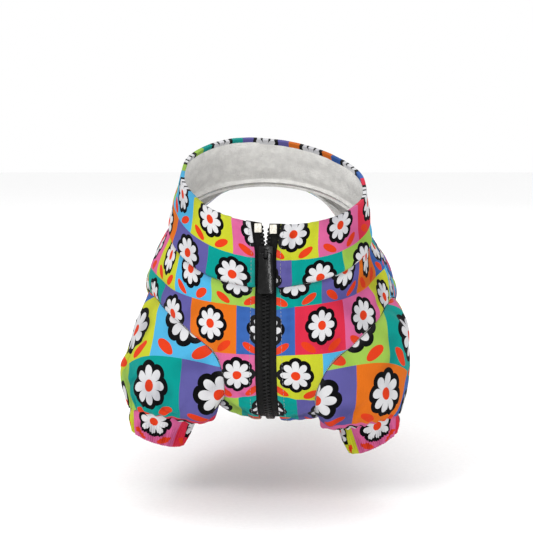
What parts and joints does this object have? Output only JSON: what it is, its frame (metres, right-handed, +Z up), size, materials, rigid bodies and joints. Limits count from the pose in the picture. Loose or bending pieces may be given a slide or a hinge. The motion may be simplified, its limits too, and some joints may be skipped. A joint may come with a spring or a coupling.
{
  "type": "dog jacket",
  "caption": "Zip-front fleece jacket for a small dog, with a stand-up collar, set-in sleeves, gathered cuffs and a colourful patchwork print, in its worn form.",
  "frame": {"origin": "top of the back at the neckline seam, where the jacket sits on the withers", "axes": "+Z up, -Y towards the chest and the zip, +X to the wearer's left"},
  "size_m": [0.2232, 0.3878, 0.2412],
  "materials": {
    "printed_cloth": "soft brushed, printed in bright colour blocks",
    "zip_tape": "woven, matt",
    "zip_teeth": "satin moulded",
    "zip_stops": "satin moulded",
    "zip_slider": "satin black",
    "zip_pull": "gloss black"
  },
  "bodies": {
    "jacket": {"left_front_panel": "printed_cloth", "right_front_panel": "printed_cloth", "back_panel": "printed_cloth", "left_sleeve": "printed_cloth", "right_sleeve": "printed_cloth", "left_cuff": "printed_cloth", "right_cuff": "printed_cloth", "collar": "printed_cloth", "zip_tape_left": "zip_tape", "zip_tape_right": "zip_tape", "zip_teeth_left": "zip_teeth", "zip_teeth_right": "zip_teeth", "zip_top_stop_left": "zip_stops", "zip_top_stop_right": "zip_stops", "zip_slider": "zip_slider", "zip_box": "zip_teeth"},
    "pull": {"zip_pull": "zip_pull"}
  },
  "joints": [
    {"name": "zip_pull", "type": "hinge", "parent": "jacket", "child": "pull", "pos_m": [0.0005, -0.11408, -0.04099], "axis": [-1, 0, 0], "range_deg": [0, 165]}
  ]
}
